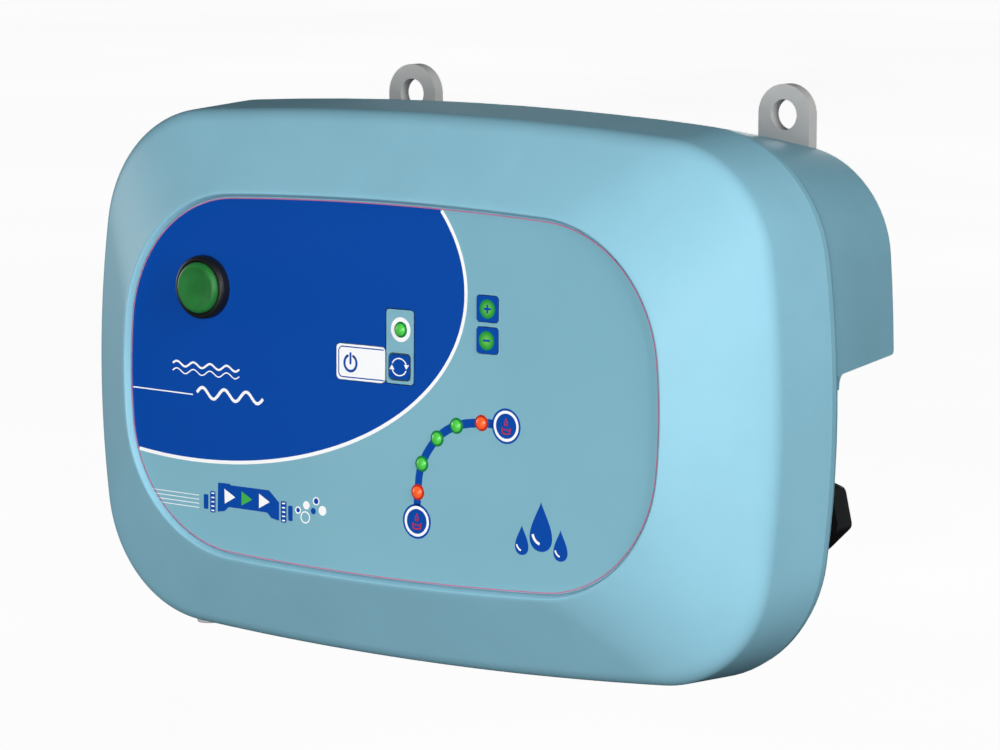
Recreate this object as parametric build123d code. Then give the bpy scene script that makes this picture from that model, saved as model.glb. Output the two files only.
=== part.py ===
"""Wall-mounted control unit of a salt chlorine generator, in millimetres.

Origin: midway between the two hanging holes, on the wall plane.
+X is to the right seen from the front, +Y points into the wall, +Z is up.
"""

from build123d import *
import math
import os

os.makedirs("parts", exist_ok=True)

# ---------------------------------------------------------------- driving dimensions
HOLE_SPACING = 169.2      # between the two hanging holes
LABEL_Z = -94.8           # height of the label's centre below the hanging holes
LABEL_Y = -128.0          # printed face of the label
LIP_Y = -130.0            # foremost edge round the label recess
CREASE_Y = -108.2         # edge between front bevel and side wall
PART_Y = -77.4            # parting plane between cover and housing
RIM_Y = -74.9             # widest section, just behind the parting plane
SHALLOW_Y = -66.0         # rear face of the housing's shallow lower part
DEEP_BOTTOM_Z = LABEL_Z + 11.7  # underside of the housing's deep upper part
WALL = 3.0                # moulded wall thickness
FRONT_IN_Y = -124.4       # inner face of the cover's front wall
LABEL_THICK = 0.6
CREASE_SETBACK = 0.16     # share of the bevel and of the side wall taken up by the soft crease
SWITCH_X, SWITCH_Z = -82.3, LABEL_Z + 31.4
SWITCH_TRAVEL = 3.0
KEY_TRAVEL = 0.4
KEY_GAP = 0.25
LED_R = 2.5
DISPLAY_Y = -116.8        # front face of the display board
MAIN_Y = -84.0            # front face of the main board
BOARD_THICK = 1.6
GLAND_R = 9.9             # outer radius of the gland thread
CABLE_R = 5.0             # bore of the gland seal
GLAND_XZ = [(122.0, LABEL_Z - 42.0), (80.0, LABEL_Z - 42.0)]
SLEEVE_X, SLEEVE_R, SLEEVE_BORE_R = -123.9, 4.55, 2.6

# A bowed outline is (half width, half height, top radius, side radius, corner radius, centre height).
LABEL = (118.0, 66.3, 1292.7, 198.2, 50.0, LABEL_Z)
LIP = (120.3, 68.6, 1295.0, 200.5, 52.3, LABEL_Z)
CREASE = (151.5, 98.1, 1492.0, 385.3, 46.5, LABEL_Z - 1.4)
RIM = (153.0, 100.0, 1495.2, 388.5, 51.0, LABEL_Z - 1.2)
BACK = (130.4, 90.7, 580.1, 576.7, 39.5, LABEL_Z)

# Keys: name, low x, high x, low z, high z, corner radius; heights are above the label's centre.
KEYS = [
    ("power_key", -21.4, 0.2, 3.0, 15.7, 1.6),
    ("boost_key", 2.4, 11.1, 5.0, 13.6, 1.2),
    ("plus_key", 40.7, 49.9, 28.0, 37.1, 1.2),
    ("minus_key", 40.7, 49.9, 17.0, 26.1, 1.2),
]
GREEN_LEDS = [(7.2, 22.5), (32.0, -9.3), (23.5, -14.5), (16.8, -24.0)]
ORANGE_LEDS = [(42.9, -7.4), (15.0, -34.2)]
COVER_SCREWS = [(sx * x, z) for x, z in [(138, -4), (126, -66), (45, -88)] for sx in (-1, 1)]
DISPLAY_SCREWS = [(-22, 40), (60, 42), (-22, -44), (60, -44)]
MAIN_SCREWS = [(-106, -64), (92, -64), (-106, -2), (92, -2)]


# ---------------------------------------------------------------- construction helpers
def grow(outline, d):
    """The same outline moved outwards by d everywhere."""
    return tuple(v + d for v in outline[:5]) + (outline[5],)


def bowed_wire(outline, y):
    """Closed wire of eight tangent arcs: four shallow bows joined by four corner arcs."""
    w, h, rt, rs, rc, zc = outline
    top = (0.0, h - rt)
    side = (w - rs, 0.0)
    dx, dz = side[0] - top[0], side[1] - top[1]
    dist = math.hypot(dx, dz)
    a = ((rt - rc) ** 2 - (rs - rc) ** 2 + dist**2) / (2 * dist)
    b = math.sqrt((rt - rc) ** 2 - a**2)
    cx = top[0] + (a * dx + b * dz) / dist
    cz = top[1] + (a * dz - b * dx) / dist
    tx = top[0] + (cx - top[0]) * rt / (rt - rc)
    tz = top[1] + (cz - top[1]) * rt / (rt - rc)
    sx = side[0] + (cx - side[0]) * rs / (rs - rc)
    sz = side[1] + (cz - side[1]) * rs / (rs - rc)
    mx, mz = (tx + sx) / 2 - cx, (tz + sz) / 2 - cz
    m = math.hypot(mx, mz)
    mx, mz = cx + mx * rc / m, cz + mz * rc / m
    loop = [
        (0, h), (tx, tz), (mx, mz), (sx, sz), (w, 0), (sx, -sz), (mx, -mz), (tx, -tz),
        (0, -h), (-tx, -tz), (-mx, -mz), (-sx, -sz), (-w, 0), (-sx, sz), (-mx, mz), (-tx, tz),
    ]
    at = [Vector(px, y, zc + pz) for px, pz in loop]
    arcs = []
    for k in range(1, 16, 2):
        arcs.append(Edge.make_three_point_arc(at[k], at[(k + 1) % 16], at[(k + 2) % 16]))
    return Wire(arcs)


def skin(*sections):
    """Straight-ruled solid through (outline, y) sections."""
    return Solid.make_loft([bowed_wire(outline, y) for outline, y in sections], True)


def between(a, b, t):
    """Section (outline, y) a share t of the way from a to b."""
    outline = tuple((1 - t) * p + t * q for p, q in zip(a[0], b[0]))
    return outline, (1 - t) * a[1] + t * b[1]


def soft_edge(a, corner, b, steps):
    """Sections of a parabola from a to b whose tangents meet at the corner section."""
    turns = [k / steps for k in range(steps + 1)]
    return [between(between(a, corner, t), between(corner, b, t), t) for t in turns]


def plate(outline, y0, y1):
    """Flat plate of the outline between two depths."""
    return extrude(Face(bowed_wire(outline, y0)), amount=y1 - y0, dir=(0, 1, 0))


def block(x0, x1, y0, y1, z0, z1):
    return Pos((x0 + x1) / 2, (y0 + y1) / 2, (z0 + z1) / 2) * Box(x1 - x0, y1 - y0, z1 - z0)


def rod(x, z, r, y0, y1):
    """Cylinder along Y."""
    return Pos(x, (y0 + y1) / 2, z) * Rot(90, 0, 0) * Cylinder(r, y1 - y0)


def hexagon(x, z, flats, y0, y1, turn=0.0):
    """Hexagonal prism along Y, flats wide across flats, turned about its axis."""
    shape = extrude(RegularPolygon(flats / math.sqrt(3), 6), amount=y1 - y0)
    return Pos(x, y1, z) * Rot(90, 0, 0) * Rot(0, 0, turn) * shape


def cone(x, z, r0, r1, y0, y1):
    """Cone along Y with radius r0 at y0 and r1 at y1."""
    return Pos(x, (y0 + y1) / 2, z) * Rot(-90, 0, 0) * Cone(r0, r1, y1 - y0)


def pan_screw(x, z, y_seat, head_r, head_h, shank_r, length, toward):
    """Pan-head screw; toward is +1 when the shank runs to +Y from the seat, -1 to -Y."""
    head = rod(x, z, head_r, *sorted((y_seat, y_seat - toward * head_h)))
    rim = head.edges().filter_by(GeomType.CIRCLE).sort_by(Axis.Y)[0 if toward > 0 else -1]
    head = fillet(rim, head_h * 0.45)
    shank = rod(x, z, shank_r, *sorted((y_seat, y_seat + toward * length)))
    y_face = y_seat - toward * head_h
    slot_y = sorted((y_face, y_face + toward * head_h * 0.5))
    arm, half = head_r * 0.55, head_r * 0.12
    cross = block(x - arm, x + arm, *slot_y, z - half, z + half)
    cross += block(x - half, x + half, *slot_y, z - arm, z + arm)
    return head + shank - cross


def tube(points, radius, bend):
    """Round lead along straight runs joined by tangent arcs."""
    path = FilletPolyline(*points, radius=bend)
    start = Plane(origin=path @ 0, z_dir=path % 0)
    return sweep(start * Circle(radius), path=path)


def save(name, shapes):
    """Writes one node; several separate solids of one node go in as a group."""
    if not isinstance(shapes, list):
        shapes = [shapes]
    solids = [s for shape in shapes for s in shape.solids()]
    body = solids[0] if len(solids) == 1 else Compound(children=solids)
    export_step(body, f"parts/{name}.step")


# ---------------------------------------------------------------- front cover
# One moulding: flat front round the label recess, bevel, soft crease, drafted side wall.
lip, crease, rim = (LIP, LIP_Y), (CREASE, CREASE_Y), (RIM, RIM_Y)
part = between(crease, rim, (PART_Y - CREASE_Y) / (RIM_Y - CREASE_Y))
PART = part[0]
lip_front = (grow(LIP, -1.2), LIP_Y)
lip_lower = between(lip, crease, 0.05)
crease_front = between(lip, crease, 1 - CREASE_SETBACK)
crease_rear = between(crease, rim, CREASE_SETBACK)
cover_outer = skin(
    *soft_edge(lip_front, lip, lip_lower, 3),
    *soft_edge(crease_front, crease, crease_rear, 6),
    part,
)

INNER_LIP = grow(LIP, 1.2)
INNER_CREASE = grow(CREASE, -4.0)
LEDGE_Y = PART_Y - 7.0
cover_inner = skin((INNER_LIP, FRONT_IN_Y), (INNER_CREASE, -106.0), (grow(PART, -3.6), LEDGE_Y))
cover_inner += skin((grow(PART, -5.2), LEDGE_Y - 0.5), (grow(PART, -5.0), PART_Y))

# Screw bosses and the four bosses of the display board, trimmed to the cover's outside.
cover_bosses = Part()
for bx, bz in COVER_SCREWS:
    cover_bosses += rod(bx, LABEL_Z + bz, 4.5, -122.0, PART_Y)
cover_bosses = cover_bosses & cover_outer
for bx, bz in DISPLAY_SCREWS:
    cover_bosses += rod(bx, LABEL_Z + bz, 3.5, FRONT_IN_Y - 1.0, DISPLAY_Y)

# Two hooks along the top edge reach behind ribs of the housing.
HOOK_X = 70.0
cover_hooks = Part()
for sx in (-1, 1):
    hx = sx * HOOK_X
    cover_hooks += block(hx - 10, hx + 10, -88.0, -68.0, LABEL_Z + 88.0, LABEL_Z + 90.8)
    cover_hooks += block(hx - 10, hx + 10, -70.6, -68.0, LABEL_Z + 88.0, LABEL_Z + 92.0)
    cover_hooks += block(hx - 10, hx + 10, -88.0, -80.0, LABEL_Z + 88.0, LABEL_Z + 94.5)

front_cover = cover_outer - cover_inner + cover_bosses + cover_hooks
front_cover -= plate(grow(LABEL, 0.3), LIP_Y - 1.0, LABEL_Y + LABEL_THICK)
front_cover -= rod(SWITCH_X, SWITCH_Z, 10.0, LIP_Y, -115.0)
for bx, bz in COVER_SCREWS:
    front_cover -= rod(bx, LABEL_Z + bz, 1.6, PART_Y - 8.0, PART_Y)
for bx, bz in DISPLAY_SCREWS:
    front_cover -= rod(bx, LABEL_Z + bz, 1.25, -123.0, DISPLAY_Y)
for lx, lz in GREEN_LEDS + ORANGE_LEDS:
    front_cover -= rod(lx, LABEL_Z + lz, LED_R + 0.1, LIP_Y, -120.0)


def key_prism(x0, x1, z0, z1, r, margin, y0, y1):
    """Rounded rectangle of one key, widened by a margin, between two depths."""
    body = block(x0 - margin, x1 + margin, y0, y1, LABEL_Z + z0 - margin, LABEL_Z + z1 + margin)
    return fillet(body.edges().filter_by(Axis.Y), r + max(margin, 0))


for _, x0, x1, z0, z1, r in KEYS:
    front_cover -= key_prism(x0, x1, z0, z1, r, KEY_GAP, LIP_Y, -120.0)

# The seal's groove, open at the parting plane.
GASKET_OUT, GASKET_IN, GASKET_DEEP = -1.7, -3.5, 2.2
seal_ring = plate(grow(PART, GASKET_OUT), PART_Y - GASKET_DEEP, PART_Y)
seal_ring -= plate(grow(PART, GASKET_IN), PART_Y - GASKET_DEEP, PART_Y)
sleeve_low, sleeve_high = LABEL_Z - 102.3, LABEL_Z - 76.3
sleeve_mid = (sleeve_low + sleeve_high) / 2
sleeve_cut = Pos(SLEEVE_X, PART_Y, sleeve_mid) * Cylinder(SLEEVE_R, sleeve_high - sleeve_low + 4)
front_cover -= seal_ring
front_cover -= sleeve_cut
save("front_cover", front_cover)
save("cover_gasket", seal_ring - sleeve_cut)

# ---------------------------------------------------------------- label
label = plate(LABEL, LABEL_Y, LABEL_Y + LABEL_THICK)
label -= rod(SWITCH_X, SWITCH_Z, 10.0, LIP_Y, -115.0)
for lx, lz in GREEN_LEDS + ORANGE_LEDS:
    label -= rod(lx, LABEL_Z + lz, LED_R + 0.1, LIP_Y, -120.0)
for _, x0, x1, z0, z1, r in KEYS:
    label -= key_prism(x0, x1, z0, z1, r, KEY_GAP, LIP_Y, -120.0)
save("control_label", label)

# ---------------------------------------------------------------- rear housing
deep_root, back = (grow(RIM, -0.9), RIM_Y + 1.2), (BACK, 0.0)
back_side, back_face = between(deep_root, back, 0.965), (grow(BACK, -2.5), 0.0)
deep_full = skin(deep_root, *soft_edge(back_side, back, back_face, 3))
deep_outer = deep_full & block(-200, 200, RIM_Y, 0, DEEP_BOTTOM_Z, 50)
UNDER_ROUND = 4.5
under_edge = block(-200, 200, -UNDER_ROUND, 0.5, DEEP_BOTTOM_Z - 0.5, DEEP_BOTTOM_Z + UNDER_ROUND)
under_edge -= Pos(0, -UNDER_ROUND, DEEP_BOTTOM_Z + UNDER_ROUND) * Rot(0, 90, 0) * Cylinder(UNDER_ROUND, 400)
deep_outer -= under_edge
tray_edge, tray_rear = (grow(RIM, -0.6), SHALLOW_Y), (grow(RIM, -8.5), SHALLOW_Y)
shallow_outer = skin(part, *soft_edge(rim, tray_edge, tray_rear, 5))
COVE = 5.0
cove = block(-200, 200, SHALLOW_Y - 0.5, SHALLOW_Y + COVE, DEEP_BOTTOM_Z - COVE, DEEP_BOTTOM_Z + 0.5)
cove -= Pos(0, SHALLOW_Y + COVE, DEEP_BOTTOM_Z - COVE) * Rot(0, 90, 0) * Cylinder(COVE, 400)
housing = shallow_outer + deep_outer + (cove & deep_full)
for gx, gz in GLAND_XZ:
    housing += rod(gx, gz, 15.0, SHALLOW_Y - 1.0, SHALLOW_Y + 8.0)

deep_inner = skin((grow(RIM, -4.1), RIM_Y), (grow(BACK, -3.2), 0.0))
deep_inner = deep_inner & block(-200, 200, RIM_Y, -WALL, DEEP_BOTTOM_Z + WALL, 50)
shallow_inner = skin((grow(PART, -3.2), PART_Y), (grow(RIM, -3.6), -73.5), (grow(RIM, -7.5), SHALLOW_Y - WALL))
housing = housing - shallow_inner - deep_inner

# Inside: bosses for the cover screws, boards, transformer and heat sink, and pads behind the ears.
EAR_X = HOLE_SPACING / 2
EAR_HALF, EAR_THICK, EAR_LOW = 11.0, 4.9, -40.0
EAR_SCREW_Z = -29.0
TRAFO_X, TRAFO_Z = 12.0, LABEL_Z + 50.0
TRAFO_FEET = [(sx * 47.0 + TRAFO_X, TRAFO_Z + dz) for sx in (-1, 1) for dz in (-18, 18)]
SINK_X, SINK_Z = -80.0, LABEL_Z + 43.0
SINK_FEET = [(SINK_X + sx * 27.0, SINK_Z + dz) for sx in (-1, 1) for dz in (-17, 17)]
for bx, bz in COVER_SCREWS:
    housing += rod(bx, LABEL_Z + bz, 4.5, PART_Y, SHALLOW_Y - WALL / 2)
for bx, bz in MAIN_SCREWS:
    housing += rod(bx, LABEL_Z + bz, 3.5, MAIN_Y + BOARD_THICK, SHALLOW_Y - WALL / 2)
for bx, bz in TRAFO_FEET:
    housing += rod(bx, bz, 4.5, -11.0, -WALL / 2)
for bx, bz in SINK_FEET:
    housing += rod(bx, bz, 4.0, -17.0, -WALL / 2)
for sx in (-1, 1):
    ex = sx * EAR_X
    pad = block(ex - 14, ex + 14, -14.0, -1.0, EAR_LOW - 4.0, -8.0)
    housing += pad & deep_outer
    hx = sx * HOOK_X
    housing += block(hx - 12, hx + 12, RIM_Y, -71.2, LABEL_Z + 91.0, LABEL_Z + 94.6)


def ear_blank(ex, slack):
    """Straight-sided plate with a round top about the hanging hole."""
    half = EAR_HALF + slack
    body = block(ex - half, ex + half, -EAR_THICK - slack, 0.0, EAR_LOW - slack, 0.0)
    return body + rod(ex, 0.0, half, -EAR_THICK - slack, 0.0)


for sx in (-1, 1):
    ex = sx * EAR_X
    housing -= ear_blank(ex, 0.1)
    housing -= rod(ex, EAR_SCREW_Z, 1.6, -12.5, 0.0)
for bx, bz in COVER_SCREWS:
    housing -= rod(bx, LABEL_Z + bz, 2.2, PART_Y, 0.0)
for bx, bz in MAIN_SCREWS:
    housing -= rod(bx, LABEL_Z + bz, 1.25, MAIN_Y, -72.0)
for bx, bz in TRAFO_FEET:
    housing -= rod(bx, bz, 1.6, -12.0, -4.0)
for bx, bz in SINK_FEET:
    housing -= rod(bx, bz, 1.25, -18.0, -8.0)
for gx, gz in GLAND_XZ:
    housing -= rod(gx, gz, GLAND_R, -76.0, SHALLOW_Y + 8.0)
housing -= sleeve_cut
save("rear_housing", housing)

# ---------------------------------------------------------------- hanging ears
ear_screws = []
for name, sx in (("left_wall_ear", -1), ("right_wall_ear", 1)):
    ex = sx * EAR_X
    ear = ear_blank(ex, 0.0)
    ear -= rod(ex, 0.0, 5.5, -EAR_THICK, 0.0)
    ear -= rod(ex, EAR_SCREW_Z, 1.6, -EAR_THICK, 0.0)
    ear -= cone(ex, EAR_SCREW_Z, 1.6, 3.6, -2.0, 0.0)
    save(name, ear)
    screw = rod(ex, EAR_SCREW_Z, 1.6, -12.0, -2.0) + cone(ex, EAR_SCREW_Z, 1.6, 3.6, -2.0, 0.0)
    screw -= block(ex - 2.2, ex + 2.2, -1.0, 0.0, EAR_SCREW_Z - 0.5, EAR_SCREW_Z + 0.5)
    screw -= block(ex - 0.5, ex + 0.5, -1.0, 0.0, EAR_SCREW_Z - 2.2, EAR_SCREW_Z + 2.2)
    ear_screws.append(screw)
save("ear_screws", ear_screws)

screws = [pan_screw(bx, LABEL_Z + bz, SHALLOW_Y, 3.8, 2.4, 1.6, 18.0, -1) for bx, bz in COVER_SCREWS]
save("cover_screws", screws)

# ---------------------------------------------------------------- main push switch
# The black bezel, body and rear housing of the switch are one moulding, clamped by a nut.
bezel = rod(SWITCH_X, SWITCH_Z, 11.4, LABEL_Y - 4.3, LABEL_Y)
bezel = fillet(bezel.edges().filter_by(GeomType.CIRCLE).sort_by(Axis.Y)[0], 1.6)
bezel += rod(SWITCH_X, SWITCH_Z, 9.95, LABEL_Y, -98.0)
bezel -= rod(SWITCH_X, SWITCH_Z, 9.45, LABEL_Y - 5.0, -124.0)
bezel -= rod(SWITCH_X, SWITCH_Z, 4.05, -124.0, -103.6)
save("switch_bezel", bezel)

cap = rod(SWITCH_X, SWITCH_Z, 9.25, LABEL_Y - 6.0, -127.2)
cap = fillet(cap.edges().filter_by(GeomType.CIRCLE).sort_by(Axis.Y)[0], 1.8)
DISH_R = 36.0
cap -= Pos(SWITCH_X, LABEL_Y - 6.0 + 0.75 - DISH_R, SWITCH_Z) * Sphere(DISH_R)
cap += rod(SWITCH_X, SWITCH_Z, 4.0, -127.6, -107.0)
save("power_button", cap)

nut = rod(SWITCH_X, SWITCH_Z, 13.0, FRONT_IN_Y, FRONT_IN_Y + 5.0)
nut -= rod(SWITCH_X, SWITCH_Z, 9.95, FRONT_IN_Y, FRONT_IN_Y + 5.0)
for k in range(6):
    a = math.radians(60 * k + 30)
    nut -= rod(SWITCH_X + 13.6 * math.cos(a), SWITCH_Z + 13.6 * math.sin(a), 1.6, FRONT_IN_Y, FRONT_IN_Y + 5.0)
save("switch_nut", nut)

TERMINAL_XZ = [(SWITCH_X - 5, SWITCH_Z), (SWITCH_X + 5, SWITCH_Z)]
blades = [block(x - 0.4, x + 0.4, -98.0, -90.0, z - 2.4, z + 2.4) for x, z in TERMINAL_XZ]
save("switch_terminals", blades)

# ---------------------------------------------------------------- membrane keys
KEY_PROUD = 0.3
tacts = []
for name, x0, x1, z0, z1, r in KEYS:
    key = key_prism(x0, x1, z0, z1, r, 0.0, LABEL_Y - KEY_PROUD, FRONT_IN_Y + 0.05)
    key += key_prism(x0, x1, z0, z1, r, 0.8, FRONT_IN_Y + 0.05, FRONT_IN_Y + 1.2)
    kx, kz = (x0 + x1) / 2, LABEL_Z + (z0 + z1) / 2
    key += rod(kx, kz, 1.7, FRONT_IN_Y + 1.2, -121.65)
    save(name, key)
    body = block(kx - 3, kx + 3, -120.4, DISPLAY_Y, kz - 3, kz + 3)
    tacts.append(body + rod(kx, kz, 1.7, -121.2, -120.4))
save("tact_switches", tacts)


# ---------------------------------------------------------------- indicators
def led(lx, lz):
    """Round-nosed indicator: collar on the board, barrel through the cover, domed tip."""
    z = LABEL_Z + lz
    body = rod(lx, z, LED_R, LABEL_Y, DISPLAY_Y) + rod(lx, z, 2.9, DISPLAY_Y - 1.0, DISPLAY_Y)
    dome = Pos(lx, LABEL_Y + 2.0, z) * Sphere(math.hypot(LED_R, 2.0))
    return body + (dome & rod(lx, z, LED_R, LABEL_Y - 2.0, LABEL_Y + 2.0))


save("green_leds", [led(*p) for p in GREEN_LEDS])
save("orange_leds", [led(*p) for p in ORANGE_LEDS])

# ---------------------------------------------------------------- display board
display = block(-28, 66, DISPLAY_Y, DISPLAY_Y + BOARD_THICK, LABEL_Z - 50, LABEL_Z + 48)
for bx, bz in DISPLAY_SCREWS:
    display -= rod(bx, LABEL_Z + bz, 1.6, DISPLAY_Y, DISPLAY_Y + BOARD_THICK)
save("display_board", display)
seat = DISPLAY_Y + BOARD_THICK
screws = [pan_screw(bx, LABEL_Z + bz, seat, 2.7, 1.9, 1.25, 6.5, -1) for bx, bz in DISPLAY_SCREWS]
save("display_screws", screws)

# ---------------------------------------------------------------- main board
board = block(-112, 98, MAIN_Y, MAIN_Y + BOARD_THICK, LABEL_Z - 70, LABEL_Z + 4)
for bx, bz in MAIN_SCREWS:
    board -= rod(bx, LABEL_Z + bz, 1.6, MAIN_Y, MAIN_Y + BOARD_THICK)
save("main_board", board)
screws = [pan_screw(bx, LABEL_Z + bz, MAIN_Y, 2.7, 1.9, 1.25, 9.0, 1) for bx, bz in MAIN_SCREWS]
save("board_screws", screws)

cans = []
for cx in (-62, -36):
    can = rod(cx, LABEL_Z - 34, 11.0, MAIN_Y - 25.0, MAIN_Y)
    cans.append(fillet(can.edges().filter_by(GeomType.CIRCLE).sort_by(Axis.Y)[0], 1.0))
save("capacitors", cans)

relays = [block(rx, rx + 28, MAIN_Y - 16.0, MAIN_Y, LABEL_Z - 34, LABEL_Z - 21) for rx in (-16, 46)]
save("relays", relays)

FUSE_Z = LABEL_Z - 8.0
holder = block(-101, -77, MAIN_Y - 4.0, MAIN_Y, FUSE_Z - 4.5, FUSE_Z + 4.5)
for cx in (-98.5, -79.5):
    clip = block(cx - 2.5, cx + 2.5, MAIN_Y - 10.0, MAIN_Y - 4.0, FUSE_Z - 3.6, FUSE_Z + 3.6)
    holder += clip
holder -= Pos(-89, MAIN_Y - 8.0, FUSE_Z) * Rot(0, 90, 0) * Cylinder(2.6, 40)
save("fuse_holder", holder)
save("fuse", Pos(-89, MAIN_Y - 8.0, FUSE_Z) * Rot(0, 90, 0) * Cylinder(2.6, 20))


def terminal_row(x0, pitch, count, z):
    """Screw terminal block: one wire entry below and one screw well in front per pole."""
    row = block(x0, x0 + pitch * count, MAIN_Y - 13.0, MAIN_Y, z - 5, z + 5)
    for k in range(count):
        cx = x0 + pitch * (k + 0.5)
        row -= rod(cx, z, 2.0, MAIN_Y - 13.0, MAIN_Y - 6.0)
        row -= block(cx - 2.2, cx + 2.2, MAIN_Y - 6.4, MAIN_Y - 2.0, z - 5, z + 1)
    return row


save("mains_terminals", terminal_row(58, 7.6, 3, LABEL_Z - 62))
save("cell_terminals", terminal_row(10, 9.5, 4, LABEL_Z - 62))

# ---------------------------------------------------------------- transformer
# Laminated core on its bobbin, held by two angle brackets on bosses of the back wall.
core = block(TRAFO_X - 39, TRAFO_X + 39, -62.0, -22.0, TRAFO_Z - 32.5, TRAFO_Z + 32.5)
for sx in (-1, 1):
    wx = TRAFO_X + sx * 19.5
    core -= block(wx - 6.5, wx + 6.5, -62.0, -22.0, TRAFO_Z - 19.5, TRAFO_Z + 19.5)
save("transformer_core", core)


def limb_ring(inner, outer, z0, z1, corner):
    """Rectangular ring round the core's middle limb; inner and outer grow from the limb."""
    y_mid = -42.0
    body = block(TRAFO_X - 13 - outer, TRAFO_X + 13 + outer, y_mid - 20 - outer, y_mid + 20 + outer, z0, z1)
    body = fillet(body.edges().filter_by(Axis.Z), corner)
    hole = block(TRAFO_X - 13 - inner, TRAFO_X + 13 + inner, y_mid - 20 - inner, y_mid + 20 + inner, z0, z1)
    return body - hole


bobbin = limb_ring(0.0, 1.4, TRAFO_Z - 19.5, TRAFO_Z + 19.5, 0.8)
bobbin += limb_ring(0.0, 12.0, TRAFO_Z - 19.5, TRAFO_Z - 18.0, 2.0)
bobbin += limb_ring(0.0, 12.0, TRAFO_Z + 18.0, TRAFO_Z + 19.5, 2.0)
save("transformer_bobbin", bobbin)
save("transformer_winding", limb_ring(1.4, 11.0, TRAFO_Z - 18.0, TRAFO_Z + 18.0, 4.0))

brackets = []
for sx in (-1, 1):
    x_in, x_out = TRAFO_X + sx * 39.0, TRAFO_X + sx * 40.5
    web = block(*sorted((x_in, x_out)), -58.0, -11.0, TRAFO_Z - 24, TRAFO_Z + 24)
    foot = block(*sorted((x_in, TRAFO_X + sx * 52.0)), -12.5, -11.0, TRAFO_Z - 24, TRAFO_Z + 24)
    bracket = web + foot
    for bx, bz in TRAFO_FEET:
        bracket -= rod(bx, bz, 2.2, -13.0, -10.0)
    brackets.append(bracket)
save("transformer_brackets", brackets)
screws = [pan_screw(bx, bz, -12.5, 3.8, 2.4, 1.6, 8.0, 1) for bx, bz in TRAFO_FEET]
save("transformer_screws", screws)

# ---------------------------------------------------------------- heat sink and rectifier
sink = block(SINK_X - 32, SINK_X + 32, -20.0, -17.0, SINK_Z - 22, SINK_Z + 22)
for k in range(5):
    for sx in (-1, 1):
        fx = SINK_X + sx * (16.5 + 3.4 * k)
        if abs(abs(fx - SINK_X) - 27.0) > 3.2:
            sink += block(fx - 0.8, fx + 0.8, -45.0, -20.0, SINK_Z - 22, SINK_Z + 22)
for bx, bz in SINK_FEET:
    sink -= rod(bx, bz, 1.6, -21.0, -16.0)
sink -= rod(SINK_X, SINK_Z, 1.6, -21.0, -16.0)
save("heatsink", sink)
screws = [pan_screw(bx, bz, -20.0, 2.7, 1.9, 1.25, 8.0, 1) for bx, bz in SINK_FEET]
save("heatsink_screws", screws)

bridge = block(SINK_X - 14.2, SINK_X + 14.2, -31.0, -20.0, SINK_Z - 14.2, SINK_Z + 14.2)
bridge = fillet(bridge.edges().filter_by(Axis.Y), 2.0)
bridge -= rod(SINK_X, SINK_Z, 1.7, -31.0, -20.0)
for sx in (-1, 1):
    for sz in (-1, 1):
        bx, bz = SINK_X + sx * 9.0, SINK_Z + sz * 9.0
        bridge += block(bx - 0.4, bx + 0.4, -42.0, -31.0, bz - 3.1, bz + 3.1)
save("bridge_rectifier", bridge)
save("rectifier_screw", pan_screw(SINK_X, SINK_Z, -31.0, 3.4, 2.2, 1.6, 14.0, 1))

# ---------------------------------------------------------------- leads inside the case
RIBBON_X, RIBBON_Z = 52.0, LABEL_Z
HEADER = 8.4
headers = [
    block(RIBBON_X - 11, RIBBON_X + 11, seat, seat + HEADER, RIBBON_Z - 9.0, RIBBON_Z - 3.0),
    block(RIBBON_X - 11, RIBBON_X + 11, MAIN_Y - HEADER, MAIN_Y, RIBBON_Z - 9.0, RIBBON_Z - 3.0),
]
save("ribbon_headers", headers)
ribbon = block(RIBBON_X - 9.5, RIBBON_X + 9.5, seat + HEADER, MAIN_Y - HEADER, RIBBON_Z - 6.6, RIBBON_Z - 5.6)
save("ribbon_cable", ribbon)

CONNECTOR_Z = LABEL_Z - 6.0
connectors = [
    block(18, 38, MAIN_Y - 12.0, MAIN_Y, CONNECTOR_Z - 5, CONNECTOR_Z + 5),
    block(SWITCH_X + 10, SWITCH_X + 26, MAIN_Y - 12.0, MAIN_Y, CONNECTOR_Z - 5, CONNECTOR_Z + 5),
]
save("lead_connectors", connectors)

top = CONNECTOR_Z + 5
winding_low = TRAFO_Z - 19.5
leads = []
for lx in (24.0, 28.0, 32.0):
    route = [(lx, -70.0, winding_low), (lx, -70.0, top + 14), (lx, -91.0, top + 14), (lx, -91.0, top)]
    leads.append(tube(route, 1.3, 6.0))
save("transformer_leads", leads)

leads = []
for (tx, tz), ex in zip(TERMINAL_XZ, (SWITCH_X + 15, SWITCH_X + 20)):
    route = [(tx, -90.0, tz), (tx, -78.0, tz), (ex, -78.0, top + 16), (ex, -91.0, top + 16), (ex, -91.0, top)]
    leads.append(tube(route, 1.1, 4.5))
save("switch_leads", leads)

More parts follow.
